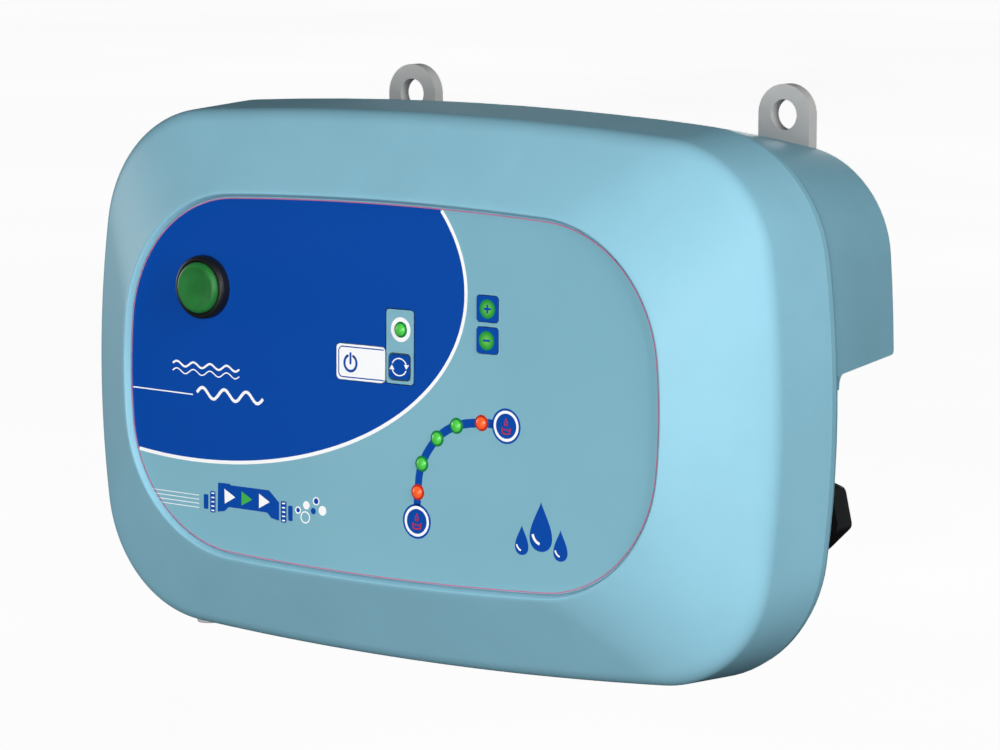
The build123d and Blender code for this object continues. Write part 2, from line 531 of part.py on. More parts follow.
# ---------------------------------------------------------------- cable glands
flanges, domes, seals, locknuts = [], [], [], []
gland_y = SHALLOW_Y + 8.0
for gx, gz in GLAND_XZ:
    body = rod(gx, gz, GLAND_R, -77.0, gland_y)
    body += hexagon(gx, gz, 24.0, gland_y, gland_y + 5.0, -16.7)
    body += rod(gx, gz, 8.6, gland_y + 5.0, -34.8)
    body -= rod(gx, gz, 6.5, -77.0, -34.8)
    flanges.append(body)
    dome = hexagon(gx, gz, 24.0, -43.0, -34.0, -16.7)
    dome += cone(gx, gz, 10.8, 8.2, -34.0, -30.0)
    dome -= rod(gx, gz, 8.6, -43.0, -34.8)
    dome -= rod(gx, gz, 6.2, -36.0, -26.0)
    domes.append(dome)
    seals.append(rod(gx, gz, 6.5, -46.0, -34.8) - rod(gx, gz, CABLE_R, -46.0, -34.8))
    lock = hexagon(gx, gz, 25.0, SHALLOW_Y - WALL - 5.0, SHALLOW_Y - WALL, 0.0)
    locknuts.append(lock - rod(gx, gz, GLAND_R, -76.0, -68.0))
save("gland_bodies", flanges)
save("gland_dome_nuts", domes)
save("gland_seals", seals)
save("gland_locknuts", locknuts)

# ---------------------------------------------------------------- lead sleeve at the lower left
sleeve = Pos(SLEEVE_X, PART_Y, sleeve_mid) * Cylinder(SLEEVE_R, sleeve_high - sleeve_low)
sleeve += Pos(SLEEVE_X, PART_Y, sleeve_high - 1.5) * Cylinder(5.6, 3.0)
sleeve -= Pos(SLEEVE_X, PART_Y, sleeve_mid) * Cylinder(SLEEVE_BORE_R, 60)
save("lead_sleeve", sleeve)
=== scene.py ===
"""Wall-mounted control box of a pool's salt chlorine generator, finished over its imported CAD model.

Metres, with the origin midway between the hanging holes on the wall, +X to the right
seen from the front, +Y into the wall and +Z up. The sections give sizes in millimetres.
"""

import math

import bmesh
import bpy
import numpy as np
from mathutils import Matrix, Vector
from mathutils.geometry import tessellate_polygon


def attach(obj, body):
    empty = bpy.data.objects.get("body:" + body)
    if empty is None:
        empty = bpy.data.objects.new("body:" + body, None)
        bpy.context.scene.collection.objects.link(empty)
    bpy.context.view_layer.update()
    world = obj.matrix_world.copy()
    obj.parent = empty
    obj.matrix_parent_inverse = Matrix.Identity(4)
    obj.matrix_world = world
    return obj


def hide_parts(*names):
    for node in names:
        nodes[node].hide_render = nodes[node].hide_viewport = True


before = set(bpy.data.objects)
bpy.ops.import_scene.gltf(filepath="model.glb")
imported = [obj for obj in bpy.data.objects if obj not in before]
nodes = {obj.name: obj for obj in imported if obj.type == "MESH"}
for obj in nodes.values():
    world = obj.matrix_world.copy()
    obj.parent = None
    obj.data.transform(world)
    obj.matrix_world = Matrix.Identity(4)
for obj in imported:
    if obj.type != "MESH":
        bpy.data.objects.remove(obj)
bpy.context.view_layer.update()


# ---------------------------------------------------------------- front cover
# One injection moulding in pale blue plastic: flat front wall behind the label, raised lip,
# bevel, soft crease and drafted side wall. Six screws from the back pull it to the housing.
LABEL_Z = -94.8           # height of the label's centre
LABEL_FACE = -128.0       # depth of the label's printed face
PARTING = -77.4           # depth of the seam between cover and housing
FRONT_INNER = -124.4      # inner face of the front wall


def section(w, h, top, side, corner, y, drop=0.0):
    """A bowed outline at a depth: half width, half height, the radii of the top bow, side bow and
    corner, centre height, depth."""
    return np.array([w, h, top, side, corner, LABEL_Z - drop, y])


def grow(base, d, y=None):
    """The section moved outwards by d everywhere, at its own depth or at y."""
    grown = base + d * np.array([1.0, 1, 1, 1, 1, 0, 0])
    if y is not None:
        grown[6] = y
    return grown


def between(a, b, share):
    """The sections at these shares of the way from a to b."""
    share = np.atleast_1d(share)[:, None]
    return (1 - share) * a + share * b


def soft_edge(a, corner, b, steps):
    """Sections of the parabola (1-t)^2 a + 2t(1-t) corner + t^2 b, whose tangents meet at corner."""
    t = np.linspace(0, 1, steps + 1)[:, None]
    return (1 - t) ** 2 * a + 2 * t * (1 - t) * corner + t**2 * b


def bowed_ring(base):
    """Points (x, z) round a section. One quarter is three tangent arcs, each its centre plus its radius
    times (cos, sin) of even angles; the other quarters mirror it."""
    w, h, top_r, side_r, corner_r, centre_z = base[:6]
    top, side = np.array([0.0, h - top_r]), np.array([w - side_r, 0.0])
    gap = side - top
    apart = np.hypot(*gap)
    along = ((top_r - corner_r) ** 2 - (side_r - corner_r) ** 2 + apart**2) / (2 * apart)
    across = math.sqrt((top_r - corner_r) ** 2 - along**2)
    corner = top + (along * gap + across * np.array([gap[1], -gap[0]])) / apart
    turn_in = math.atan2(corner[1] - top[1], corner[0] - top[0])
    turn_out = math.atan2(corner[1] - side[1], corner[0] - side[0])
    arcs = [(top, top_r, math.pi / 2, turn_in, 18),
            (corner, corner_r, turn_in, turn_out, 26),
            (side, side_r, turn_out, 0, 12)]
    quarter = []
    for centre, radius, start, stop, count in arcs:
        angle = np.linspace(start, stop, count, endpoint=False)
        quarter.append(centre + radius * np.stack([np.cos(angle), np.sin(angle)], -1))
    quarter = np.concatenate(quarter)
    right = np.concatenate([quarter, [[w, 0.0]], quarter[:0:-1] * [1, -1]])
    ring = np.concatenate([right, [[0.0, -h]], right[:0:-1] * [-1, 1]])
    return ring + [0, centre_z]


def skin(sections):
    """Grid of points: one row per section, its ring placed at its depth."""
    rings = [bowed_ring(s) for s in sections]
    return np.stack([np.insert(ring, 1, s[6], axis=1) for ring, s in zip(rings, sections)])


def wrap(grid, ends="loop"):
    """Faces of a grid whose columns close into rings. The last row joins the first ("loop"), or each
    end is closed by a fan to its mean point ("fans")."""
    rows, columns = grid.shape[:2]
    index = np.arange(rows * columns).reshape(rows, columns)
    low, high = (index, np.roll(index, -1, axis=0)) if ends == "loop" else (index[:-1], index[1:])
    quads = np.stack([low, np.roll(low, -1, axis=1), np.roll(high, -1, axis=1), high], -1).reshape(-1, 4)
    points, faces = grid.reshape(-1, 3), quads.tolist()
    if ends == "fans":
        hubs = np.stack([grid[0].mean(0), grid[-1].mean(0)])
        points = np.concatenate([points, hubs])
        for hub, ring in ((rows * columns, index[0]), (rows * columns + 1, index[-1][::-1])):
            faces += np.stack([np.full(columns, hub), np.roll(ring, -1), ring], -1).tolist()
    return points, faces


def film(loops, front, back):
    """Flat closed plate between two depths. The first loop of (x, z) points is its edge and the rest are
    its holes: both faces are triangulated and every loop gets a wall. Heights are above the label's centre."""
    flat = np.concatenate(loops)
    count = len(flat)
    triangles = np.array(tessellate_polygon([np.insert(loop, 2, 0, axis=1).tolist() for loop in loops]))
    points = np.concatenate([np.insert(flat + [0, LABEL_Z], 1, depth, axis=1) for depth in (front, back)])
    faces = triangles.tolist() + (triangles[:, ::-1] + count).tolist()
    start = 0
    for loop in loops:
        here = start + np.arange(len(loop))
        there = np.roll(here, -1)
        faces += np.stack([here, there, there + count, here + count], -1).tolist()
        start += len(loop)
    return points, faces


def turned(profile, x, z, columns=96, upright=False):
    """Surface of revolution: each profile row (radius, depth) is a circle about a line along Y through
    (x, z), or about an upright line through (x, y) where the second number is a height."""
    angle = np.linspace(0, 2 * math.pi, columns, endpoint=False)
    radius, along = np.array(profile, float).T[:, :, None]
    across, other = x + radius * np.cos(angle), z + radius * np.sin(angle)
    along = along + 0 * angle
    return np.stack([across, other, along] if upright else [across, along, other], -1)


def mesh_piece(name, parts, material, crease=32.0):
    """Object from (points, faces) parts in millimetres: each closed part's faces are turned outwards,
    shading is smooth, and edges sharper than crease degrees stay sharp."""
    offsets = np.cumsum([0] + [len(p[0]) for p in parts])
    points = np.concatenate([p[0] for p in parts]) * 0.001
    faces = [[v + o for v in face] for p, o in zip(parts, offsets) for face in p[1]]
    mesh = bpy.data.meshes.new(name)
    mesh.from_pydata(points.tolist(), [], faces)
    shape = bmesh.new()
    shape.from_mesh(mesh)
    bmesh.ops.recalc_face_normals(shape, faces=shape.faces)
    shape.to_mesh(mesh)
    shape.free()
    mesh.shade_smooth()
    mesh.set_sharp_from_angle(angle=math.radians(crease))
    mesh.materials.append(material)
    made = bpy.data.objects.new(name, mesh)
    bpy.context.scene.collection.objects.link(made)
    return made


def circle(x, z, r, columns=72):
    """Closed loop of points at r round (x, z)."""
    angle = np.linspace(0, 2 * math.pi, columns, endpoint=False)
    return np.stack([x + r * np.cos(angle), z + r * np.sin(angle)], -1)


def rounded(x0, x1, z0, z1, r, margin=0.0):
    """Closed loop of a rectangle with corners of radius r, widened by margin: quarter circles about
    the four inner corners."""
    r, quarter = r + margin, np.linspace(0, math.pi / 2, 9)
    corners = [(x1 + margin - r, z1 + margin - r, 0), (x0 - margin + r, z1 + margin - r, 1),
               (x0 - margin + r, z0 - margin + r, 2), (x1 + margin - r, z0 - margin + r, 3)]
    arcs = []
    for x, z, k in corners:
        angle = quarter + k * math.pi / 2
        arcs.append(np.stack([x + r * np.cos(angle), z + r * np.sin(angle)], -1))
    return np.concatenate(arcs)


class Flow:
    """One socket of a material's nodes. Arithmetic on flows adds Math nodes."""

    def __init__(self, tree, socket):
        self.tree, self.socket = tree, socket

    def node(self, kind, settings, inputs, output=0):
        """Adds a node: settings first, then each input's value or link. Returns the flow out of one output."""
        made = self.tree.nodes.new(kind)
        for key, value in settings.items():
            setattr(made, key, value)
        for key, value in inputs.items():
            if isinstance(value, Flow):
                self.tree.links.new(value.socket, made.inputs[key])
            else:
                made.inputs[key].default_value = value
        return Flow(self.tree, made.outputs[output])

    def maths(self, operation, *values):
        return self.node("ShaderNodeMath", {"operation": operation}, dict(enumerate(values)))

    def __add__(self, other):
        return self.maths("ADD", self, other)

    def __sub__(self, other):
        return self.maths("SUBTRACT", self, other)

    def __rsub__(self, other):
        return self.maths("SUBTRACT", other, self)

    def __mul__(self, other):
        return self.maths("MULTIPLY", self, other)

    __radd__, __rmul__ = __add__, __mul__

    def noise(self, scale, detail=2.0, rough=0.5):
        """Fractal noise read at this flow's place."""
        grain = {"Vector": self, "Scale": scale, "Detail": detail, "Roughness": rough}
        return self.node("ShaderNodeTexNoise", {}, grain)

    def ramp(self, low, high, to_low=0.0, to_high=1.0):
        """This value's range low to high spread over another range, clamped and eased at both ends."""
        ends = {0: self, 1: low, 2: high, 3: to_low, 4: to_high}
        return self.node("ShaderNodeMapRange", {"interpolation_type": "SMOOTHSTEP"}, ends)

    def mix(self, low, high):
        """Colour low where this value is 0 and high where it is 1."""
        return self.node("ShaderNodeMix", {"data_type": "RGBA"}, {0: self, 6: low, 7: high}, 2)

    def bump(self, depth, strength=1.0):
        """Normal of this height, depth metres tall."""
        return self.node("ShaderNodeBump", {}, {"Strength": strength, "Distance": depth, "Height": self})

    def into(self, shader, socket):
        """Feeds this flow to one of the shader's sockets."""
        self.tree.links.new(self.socket, shader.inputs[socket])


def colour(red, green, blue, share=1.0):
    """Linear colour of 0 to 255 display values, times share."""
    value = np.array([red, green, blue]) / 255
    linear = np.where(value <= 0.04045, value / 12.92, ((value + 0.055) / 1.055) ** 2.4)
    return (*(linear * share).tolist(), 1.0)


def finish_named(name, constants):
    """A Principled material with these constants on its sockets. Returns it, its shader and its
    Object coordinates."""
    material = bpy.data.materials.new(name)
    material.use_nodes = True
    tree = material.node_tree
    shader = tree.nodes["Principled BSDF"]
    for key, value in constants.items():
        shader.inputs[key].default_value = value
    place = tree.nodes.new("ShaderNodeTexCoord").outputs["Object"]
    return material, shader, Flow(tree, place)


def moulded(name, shade, roughness=0.45, mottle=0.05, grain=0.00003, gloss=0.4):
    """Moulded plastic: a slow noise clouds its colour and sheen, and two fine noises are the mould's
    eroded grain."""
    material, shader, place = finish_named(name, {"Specular IOR Level": gloss})
    cloud, fine = place.noise(26.0, 5.0, 0.6), place.noise(1500.0, 3.0, 0.6)
    dark, light = [(*(np.array(shade[:3]) * k).tolist(), 1.0) for k in (1 - mottle, 1 + mottle)]
    cloud.ramp(0.3, 0.7).mix(dark, light).into(shader, "Base Color")
    (cloud * 0.12 + fine * 0.10 + (roughness - 0.11)).into(shader, "Roughness")
    (fine + place.noise(420.0) * 0.5).bump(grain).into(shader, "Normal")
    return material


case_plastic = moulded("case_plastic", colour(136, 188, 207), 0.45, mottle=0.025, grain=0.000022, gloss=0.15)

label_edge = section(118.0, 66.3, 1292.7, 198.2, 50.0, LABEL_FACE)
lip = section(120.3, 68.6, 1295.0, 200.5, 52.3, -130.0)
crease = section(151.5, 98.1, 1492.0, 385.3, 46.5, -108.2, 1.4)
rim = section(153.0, 100.0, 1495.2, 388.5, 51.0, -74.9, 1.2)
seam = between(crease, rim, (PARTING - crease[6]) / (rim[6] - crease[6]))[0]


def label_outline(inset):
    """The label's edge moved inwards, as a loop of (x, z) points about its centre."""
    return bowed_ring(grow(label_edge, -inset)) - [0, LABEL_Z]


SWITCH_RADIUS, LAMP_RADIUS, KEY_GAP = 10.0, 2.6, 0.25
SWITCH_X, SWITCH_Z = -82.3, 31.4
GREEN_LEDS = [(7.2, 22.5), (32.0, -9.3), (23.5, -14.5), (16.8, -24.0)]
ORANGE_LEDS = [(42.9, -7.4), (15.0, -34.2)]
KEYS = {"power_key": (-21.4, 0.2, 3.0, 15.7, 1.6), "boost_key": (2.4, 11.1, 5.0, 13.6, 1.2),
        "plus_key": (40.7, 49.9, 28.0, 37.1, 1.2), "minus_key": (40.7, 49.9, 17.0, 26.1, 1.2)}
apertures = [circle(SWITCH_X, SWITCH_Z, SWITCH_RADIUS),
             *[circle(x, z, LAMP_RADIUS, 40) for x, z in GREEN_LEDS + ORANGE_LEDS],
             *[rounded(*key, KEY_GAP) for key in KEYS.values()]]

WALL_INSET = 9.0          # the ring behind the label's edge meets the front wall this far inside it
side_start, side_end = between(crease, rim, 0.16)[0], between(crease, rim, 0.925)[0]
bevel_start, bevel_end = between(lip, crease, 0.05)[0], between(lip, crease, 0.84)[0]
front_shell = skin([
    *soft_edge(grow(seam, -0.25), seam, side_end, 3),
    *between(side_end, side_start, np.linspace(0.12, 0.9, 7)),
    *soft_edge(side_start, crease, bevel_end, 18),
    *between(bevel_end, bevel_start, np.linspace(0.1, 0.9, 8)),
    *soft_edge(bevel_start, lip, grow(lip, -0.45), 6),
    *soft_edge(grow(lip, -0.55), grow(lip, -0.85), grow(label_edge, 1.1, -129.3), 4),
    grow(label_edge, 0.42, LABEL_FACE - 0.05),
    grow(label_edge, 0.3, LABEL_FACE + 0.6),
    grow(label_edge, -WALL_INSET, LABEL_FACE + 0.6),
    grow(label_edge, -WALL_INSET, FRONT_INNER),
    grow(lip, 1.2, FRONT_INNER),
    *soft_edge(grow(lip, 2.6, FRONT_INNER + 0.7), grow(crease, -4.0, -107.5), grow(seam, -3.9, -100.0), 6),
    grow(seam, -3.6, PARTING - 7.0),
    grow(seam, -5.0, PARTING - 7.5),
    grow(seam, -5.0, PARTING),
])
front_wall = film([label_outline(WALL_INSET), *apertures], LABEL_FACE + 0.6, FRONT_INNER)
boss_profile = [(1.6, PARTING - 8), (1.6, PARTING - 0.05), (4.5, PARTING - 0.05), (4.5, -104.0), (1.6, -104.0)]
screw_bosses = [wrap(turned(boss_profile, side * x, LABEL_Z + z, 32))
                for x, z in [(138, -4), (126, -66), (45, -88)] for side in (-1, 1)]
front_cover = mesh_piece("front_cover_shell", [wrap(front_shell), front_wall, *screw_bosses], case_plastic, 40.0)
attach(front_cover, "case")
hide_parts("front_cover")


# ---------------------------------------------------------------- rear housing
# The second moulding, in the same plastic: a shallow tray all round with a deep upper part that
# reaches the wall, a concave fillet under it, and bosses for the two cable glands.
def refinish(name, material):
    """Gives a CAD node its material."""
    nodes[name].data.materials.clear()
    nodes[name].data.materials.append(material)


refinish("rear_housing", case_plastic)


# ---------------------------------------------------------------- label
# Polyester film, printed from behind and glued into the recess of the front wall. Each colour of
# print is a thin layer of its own, and a fine dark line runs round the film's cut edge.
def film_texture(shader, place, roughness):
    """Film's fine texture: one noise varies its sheen and, four thousandths of a millimetre tall, its surface."""
    texture = place.noise(2600.0, 2.0)
    (texture * 0.12 + roughness).into(shader, "Roughness")
    texture.bump(0.000004).into(shader, "Normal")


film_finish, shader, place = finish_named("label_film", {"Specular IOR Level": 0.2})
cloud = place.noise(9.0, 3.0)
cloud.ramp(0.3, 0.7).mix(colour(123, 175, 192), colour(129, 180, 196)).into(shader, "Base Color")
film_texture(shader, place, cloud * 0.06 + 0.30)
refinish("control_label", film_finish)


def ink(name, shade, screen=0.06, roughness=0.36):
    """Screen-printed ink under film: a fine mesh of dots shades its colour, and the film's texture its sheen."""
    material, shader, place = finish_named(name, {"Specular IOR Level": 0.15})
    dots = place.node("ShaderNodeTexVoronoi", {"feature": "F1"}, {"Vector": place, "Scale": 3200.0})
    dark = (*(np.array(shade[:3]) * (1 - screen)).tolist(), 1.0)
    (dots * 0.6 + place.noise(14.0) * 0.4).mix(shade, dark).into(shader, "Base Color")
    film_texture(shader, place, roughness - 0.06)
    return material


deep_blue = ink("ink_deep_blue", colour(8, 72, 164))
print_white = ink("ink_white", colour(250, 251, 252), 0.03)
pale_blue = ink("ink_pale_blue", colour(128, 179, 196), 0.03)
print_red = ink("ink_red", colour(190, 42, 48))
edge_line = ink("ink_edge_line", colour(190, 116, 148))
LAYER = 0.02              # each print layer stands this much in front of the one below


def layer(number):
    """Front and back depth of a print layer; the first lies on the film."""
    return LABEL_FACE - LAYER * number, LABEL_FACE


def ribbon(path, width):
    """Closed loop round an open line: the line moved half the width to one side, then back along the other."""
    path = np.array(path, float)
    run = np.gradient(path, axis=0)
    run /= np.linalg.norm(run, axis=1, keepdims=True)
    side = np.stack([-run[:, 1], run[:, 0]], -1) * width / 2
    return np.concatenate([path + side, (path - side)[::-1]])


def arc(x, z, rx, rz, start, stop, count=60):
    """Points of an ellipse's arc between two angles in degrees."""
    angle = np.radians(np.linspace(start, stop, count))
    return np.stack([x + rx * np.cos(angle), z + rz * np.sin(angle)], -1)


def smooth_line(points, count=90):
    """Catmull-Rom curve through the points: each span is a cubic of its own two points and their neighbours."""
    p = np.array(points, float)
    p = np.concatenate([[2 * p[0] - p[1]], p, [2 * p[-1] - p[-2]]])
    at = np.linspace(0, len(p) - 3, count)
    k = np.minimum(at.astype(int), len(p) - 4)
    t = (at - k)[:, None]
    a, b, c, d = p[k], p[k + 1], p[k + 2], p[k + 3]
    return 0.5 * (2 * b + (c - a) * t + (2 * a - 5 * b + 4 * c - d) * t**2 + (3 * b - 3 * c + d - a) * t**3)


def reach(outline, directions):
    """Distance from the origin to a closed outline along each direction: the distances of its points,
    interpolated by their angles."""
    turn = np.arctan2(outline[:, 1], outline[:, 0])
    order = np.argsort(turn)
    return np.interp(directions, turn[order], np.hypot(*outline[order].T), period=2 * math.pi)


def inside_label(loop, margin):
    """True for each point at least margin inside the label's edge, along the ray from the label's centre."""
    return np.hypot(*loop.T) <= reach(label_outline(margin), np.arctan2(loop[:, 1], loop[:, 0]))


# The big blue disc is an ellipse cut off by the label's edge: along each ray from a point inside
# both, the nearer of the two edges.
DISC_X, DISC_Z, DISC_RX, DISC_RZ = -85.8, 36.9, 121.7, 68.9
hub = np.array([-60.0, 12.0])
ray = np.linspace(-math.pi, math.pi, 720, endpoint=False)
ellipse = arc(DISC_X, DISC_Z, DISC_RX, DISC_RZ, 0, 360, 2000)[:-1]
nearer = np.minimum(reach(ellipse - hub, ray), reach(label_outline(0.4) - hub, ray))[:, None]
disc_edge = hub + nearer * np.stack([np.cos(ray), np.sin(ray)], -1)
panel = (0.5, 13.3, 3.0, 29.8, 1.6)
boost_hole, power_hole = rounded(*KEYS["boost_key"], KEY_GAP), rounded(*KEYS["power_key"], KEY_GAP)
led_ring_hole = circle(*GREEN_LEDS[0], LAMP_RADIUS, 48)
disc_loops = [disc_edge, circle(SWITCH_X, SWITCH_Z, SWITCH_RADIUS), power_hole, boost_hole, led_ring_hole]
disc_print = mesh_piece("label_blue_disc", [film(disc_loops, *layer(1))], deep_blue)
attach(disc_print, "case")

# White border of the disc, white lines and the ring round the first lamp; generic water waves
# and drops take the place of lettering.
border = arc(DISC_X, DISC_Z, DISC_RX, DISC_RZ, -175, 175, 1400)
border = border[inside_label(border, 0.5)]
wave_x = np.linspace(0, 1, 120)


def wave(x0, x1, z, height, turns):
    """Sine line: z plus height times the sine of the way from x0 to x1, over a number of turns."""
    return np.stack([x0 + (x1 - x0) * wave_x, z + height * np.sin(2 * math.pi * turns * wave_x)], -1)


def drop(x, z, r):
    """Closed loop of a water drop: x is the sine of the turn, narrowed by the sine of half the turn
    towards the tip."""
    t = np.linspace(0, 2 * math.pi, 64, endpoint=False)
    return np.stack([x + r * np.sin(t) * np.sin(t / 2) ** 1.6, z + 1.25 * r * np.cos(t)], -1)


white_groups = [
    [ribbon(border, 1.3)],
    [ribbon([(-117.1, -7.7), (-102, -7.95), (-88.5, -8.2)], 0.45)],
    [ribbon(wave(-98.0, -66.5, 2.6, 0.9, 4), 0.75)],
    [ribbon(wave(-98.0, -66.5, 0.0, 0.9, 4), 0.45)],
    [ribbon(wave(-86.5, -55.5, -7.2, 1.9, 3), 1.15)],
]
flow_arrows = [[(-73.6, -41.3), (-68.5, -44.0), (-73.4, -46.7)], [(-57.3, -41.6), (-52.4, -44.2), (-57.4, -46.9)]]
white_groups += [[np.array(arrow)] for arrow in flow_arrows]
white_groups += [[circle(-35.4, -43.7, 1.5)], [circle(-28.0, -45.0, 1.75)]]
for x, z, outer, inner in ((-39.2, -45.8, 1.35, 0.85), (-30.9, -41.8, 1.5, 1.05), (-35.9, -48.1, 2.2, 1.75)):
    white_groups.append([circle(x, z, outer), circle(x, z, inner)])
for x, z0, z1 in ((-79.05, -50.5, -42.7), (-45.9, -51.0, -43.3)):
    for z in np.linspace(z0 + 0.75, z1 - 0.75, 5):
        white_groups.append([rounded(x - 0.72, x + 0.72, z - 0.24, z + 0.24, 0.2)])
for z in (-44.6, -46.1, -47.6, -49.1):
    start = -108.6 + 0.42 * (-44.6 - z)
    white_groups.append([ribbon([(start, z + 0.1), (-97, z - 0.05), (-85.6, z - 0.2)], 0.26)])
ICONS = [(53.6, -7.6), (14.6, -44.6)]
for x, z in ICONS:
    white_groups.append([circle(x, z, 5.4), circle(x, z, 4.4)])
white_groups += [[rounded(*panel), rounded(*panel, -0.3)]]
white_print = mesh_piece("label_white_print", [film(loops, *layer(2)) for loops in white_groups], print_white)
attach(white_print, "case")

led_ring_edge = circle(*GREEN_LEDS[0], 4.35)
pale_groups = [[rounded(*panel), boost_hole, led_ring_edge]]
pale_groups += [[rounded(*KEYS[k], 0.6), rounded(*KEYS[k], 0.3)] for k in ("plus_key", "minus_key", "boost_key")]
pale_print = mesh_piece("label_pale_print", [film(loops, *layer(2)) for loops in pale_groups], pale_blue)
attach(pale_print, "case")
led_ring = mesh_piece("label_lamp_ring", [film([led_ring_edge, led_ring_hole], *layer(2))], print_white)
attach(led_ring, "case")

# Blue print on the pale ground: the arc between its two round signs, the flow cell with its
# nuts and caps, and three drops.
band_line = smooth_line([ICONS[0], ORANGE_LEDS[0], *GREEN_LEDS[1:], ORANGE_LEDS[1], ICONS[1]], 120)
for icon in ICONS:
    band_line = band_line[np.hypot(*(band_line - icon).T) > 5.6]
cell_body = [(-76.6, -39.3), (-71.1, -39.3), (-70.5, -39.8), (-52.7, -39.9), (-48.0, -43.9), (-48.0, -50.5),
             (-51.6, -49.9), (-53.6, -48.1), (-71.4, -47.8), (-73.6, -49.5), (-76.8, -50.0)]
blue_groups = [[ribbon(band_line, 3.1)], [np.array(cell_body)]]
blue_groups += [[circle(x, z, 6.2)] for x, z in ICONS]
cell_nuts = [(-83.4, -81.2, -49.5, -44.1), (-80.3, -77.8, -50.5, -42.7),
             (-47.2, -44.6, -51.0, -43.3), (-43.8, -41.7, -50.1, -44.6)]
DROPS = [(68.8, -41.2, 7.0), (60.6, -46.6, 4.2), (77.2, -47.0, 4.4)]
blue_groups += [[rounded(*nut, 0.5)] for nut in cell_nuts]
blue_groups += [[circle(-39.2, -45.8, 0.85)], [circle(-30.9, -41.8, 1.05)], [circle(-32.2, -45.5, 1.15)]]
blue_groups += [[drop(*place_and_size)] for place_and_size in DROPS]
blue_print = mesh_piece("label_blue_print", [film(loops, *layer(1)) for loops in blue_groups], deep_blue)
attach(blue_print, "case")

# The two round signs carry a small basin, empty and full; the drops carry a highlight.
basin = np.array([(-1.75, -0.5), (-1.6, -2.5), (0.0, -2.75), (1.6, -2.5), (1.75, -0.5)])
red_groups = [[ribbon(basin + icon, 0.5)] for icon in ICONS]
red_groups += [[ribbon(wave(x - 1.2, x + 1.2, z - 1.35, 0.22, 2), 0.4)] for x, z in ICONS]
red_groups += [[drop(x, z + 1.5, 1.15), drop(x, z + 1.4, 0.6)] for x, z in ICONS]
red_print = mesh_piece("label_red_print", [film(loops, *layer(3)) for loops in red_groups], print_red)
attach(red_print, "case")
shine_groups = [[ribbon(arc(x, z - 0.25 * r, 0.52 * r, 0.62 * r, 195, 262, 24), 0.14 * r)] for x, z, r in DROPS]
shine_print = mesh_piece("label_drop_highlights", [film(loops, *layer(2)) for loops in shine_groups], print_white)
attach(shine_print, "case")

edge_print = mesh_piece("label_edge_line", [film([label_outline(0.0), label_outline(0.42)], *layer(2))], edge_line)
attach(edge_print, "case")


# ---------------------------------------------------------------- membrane keys
# Raised pads of the same film over their contacts. The power key is white with a blue outline
# and symbol, the boost key blue with two turning arrows, the last two carry a green disc.
KEY_FACE = LABEL_FACE - 0.3
for name in KEYS:
    refinish(name, print_white if name == "power_key" else deep_blue)

key_frame = np.concatenate([[(-0.1, 14.75)], arc(-18.7, 13.05, 1.7, 1.7, 90, 180, 12),
                            arc(-18.7, 5.65, 1.7, 1.7, 180, 270, 12), [(-0.1, 3.95)]])
SIGN_X, SIGN_Z, SIGN_RX, SIGN_RZ = -15.1, 9.0, 2.72, 2.85
power_groups = [[ribbon(arc(SIGN_X, SIGN_Z, SIGN_RX, SIGN_RZ, 118, 422, 60), 0.95)],
                [rounded(SIGN_X - 0.45, SIGN_X + 0.45, 8.5, 12.9, 0.42)],
                [ribbon(key_frame, 0.42)]]
for side in (-1, 1):
    tip = np.radians(90 + side * 28)
    end = circle(SIGN_X + SIGN_RX * math.cos(tip), SIGN_Z + SIGN_RZ * math.sin(tip), 0.475, 20)
    power_groups.append([end])
power_parts = [film(loops, KEY_FACE - LAYER, KEY_FACE) for loops in power_groups]
power_sign = mesh_piece("power_key_print", power_parts, deep_blue)
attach(power_sign, "power_key")

arrow_x, arrow_z, arrow_r = 6.75, 9.3, 3.3
arrows = []
for turn in (0, 180):
    arrows.append([ribbon(arc(arrow_x, arrow_z, arrow_r, arrow_r * 0.92, turn + 22, turn + 158, 40), 0.45)])
    head = np.array([(1.15, 0.1), (-1.15, 0.1), (0, -1.6)]) + [arrow_r * 0.98, 0.9]
    spin = math.cos(math.radians(turn))
    arrows.append([head * spin + [arrow_x, arrow_z]])
boost_sign = mesh_piece("boost_key_print", [film(loops, KEY_FACE - LAYER, KEY_FACE) for loops in arrows], print_white)
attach(boost_sign, "boost_key")

# Green disc of the plus and minus keys: printed flat, its green lighter in the middle as a painted highlight
# and darker to the edge as painted shade, with the sign's bars, each half as wide and as tall as given, on it.
SIGNS = [("plus_key", 45.4, 32.5, [(1.5, 0.38), (0.38, 1.5)]), ("minus_key", 45.1, 21.5, [(1.5, 0.38)])]
sign_green_painted_dome, shader, place = finish_named("ink_sign_green", {"Specular IOR Level": 0.2})
distances = []
for _, x, z, _ in SIGNS:
    middle = (x * 0.001, (KEY_FACE - 2 * LAYER) * 0.001, (LABEL_Z + z) * 0.001)
    distances.append(place.node("ShaderNodeVectorMath", {"operation": "DISTANCE"}, {0: place, 1: middle}, 1))
nearest = distances[0].maths("MINIMUM", *distances)
# painted highlight in each disc's middle, painted shade towards its edge
nearest.ramp(0.0002, 0.0034).mix(colour(104, 196, 76), colour(24, 142, 58)).into(shader, "Base Color")
film_texture(shader, place, 0.3)
for name, x, z, bars in SIGNS:
    disc = mesh_piece(name + "_disc", [film([circle(x, z, 3.35)], KEY_FACE - LAYER, KEY_FACE)], sign_green_painted_dome)
    bar_parts = [film([rounded(x - a, x + a, z - b, z + b, 0.15)], KEY_FACE - LAYER * (2 + k), KEY_FACE - LAYER * 0.5)
                 for k, (a, b) in enumerate(bars)]
    sign = mesh_piece(name + "_sign", bar_parts, deep_blue)
    for made in (disc, sign):
        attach(made, name)


